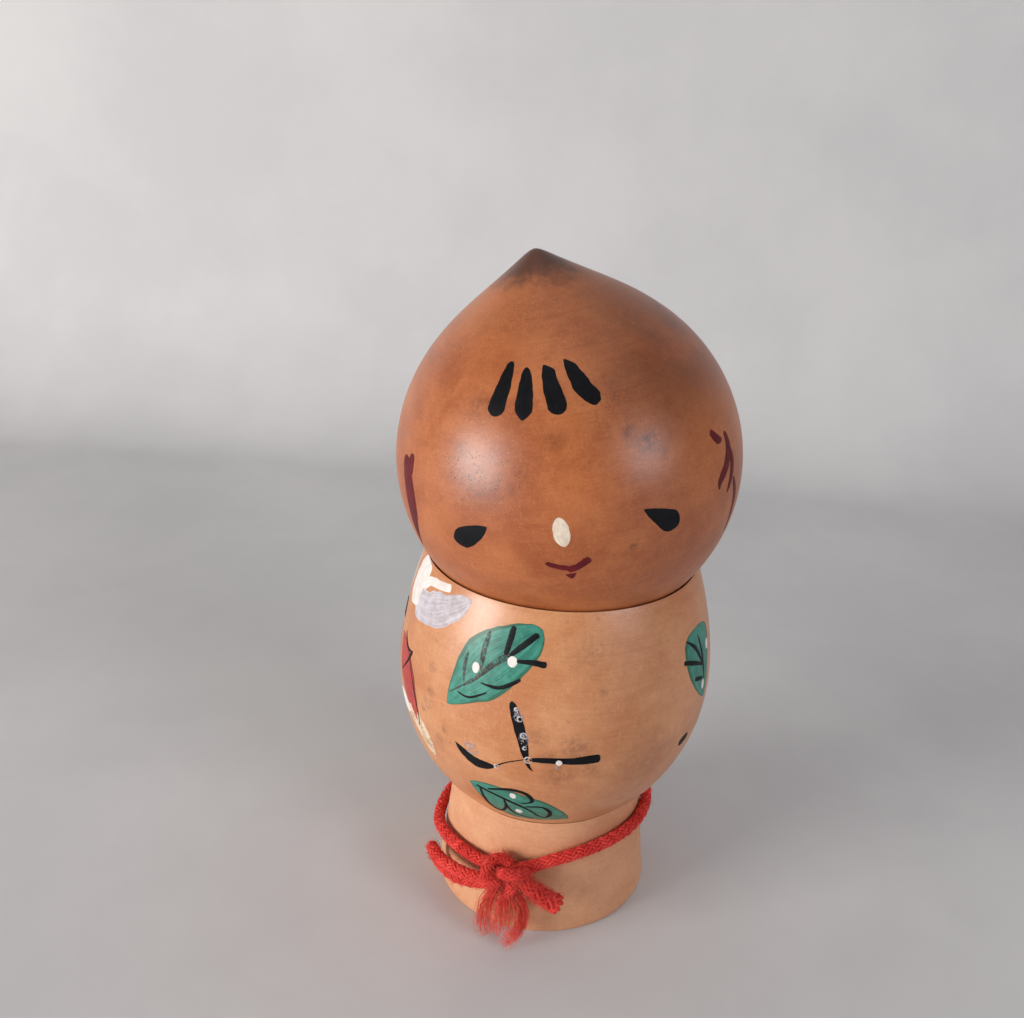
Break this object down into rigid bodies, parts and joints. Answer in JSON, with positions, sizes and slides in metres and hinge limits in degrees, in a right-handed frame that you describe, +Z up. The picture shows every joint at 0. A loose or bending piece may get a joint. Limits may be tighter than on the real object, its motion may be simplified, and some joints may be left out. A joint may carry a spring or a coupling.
{
  "type": "kokeshi doll",
  "caption": "Small turned wooden doll: chestnut-shaped head that turns on a dowel, round painted body, flared pedestal and a red cord tied in a half bow.",
  "frame": {"origin": "centre of the pedestal's flat foot, on the surface that the doll stands on", "axes": "+Z up along the doll, -Y the way the face looks, +X to the doll's left"},
  "size_m": [0.0578, 0.0578, 0.1197],
  "materials": {
    "head_wood": "orange-brown stained and varnished turned wood, satin",
    "body_wood": "light tan stained and varnished turned wood, satin",
    "pedestal_wood": "pale bare turned wood, matt",
    "dowel_wood": "bare dowel, matt",
    "red_cord": "braided red cord, soft and slightly fuzzy",
    "black_paint": "hand-brushed black paint, slightly glossy",
    "white_paint": "hand-brushed opaque white paint",
    "green_paint": "hand-brushed bluish green paint",
    "red_paint": "hand-brushed dark red paint"
  },
  "bodies": {
    "doll": {"pedestal": "pedestal_wood", "base_dowel": "dowel_wood", "ball_body": "body_wood", "neck_dowel": "dowel_wood"},
    "head": {"head": "head_wood"},
    "cord": {"cord_ring": "red_cord", "cord_knot": "red_cord", "cord_bow": "red_cord", "cord_end_cut": "red_cord", "cord_end_frayed": "red_cord"}
  },
  "joints": [
    {"name": "head_turn", "type": "hinge", "parent": "doll", "child": "head", "pos_m": [0, 0, 0.0569], "axis": [0, 0, 1], "continuous": true},
    {"name": "cord_slip", "type": "hinge", "parent": "doll", "child": "cord", "pos_m": [0, 0, 0.014], "axis": [0, 0, 1], "continuous": true}
  ]
}
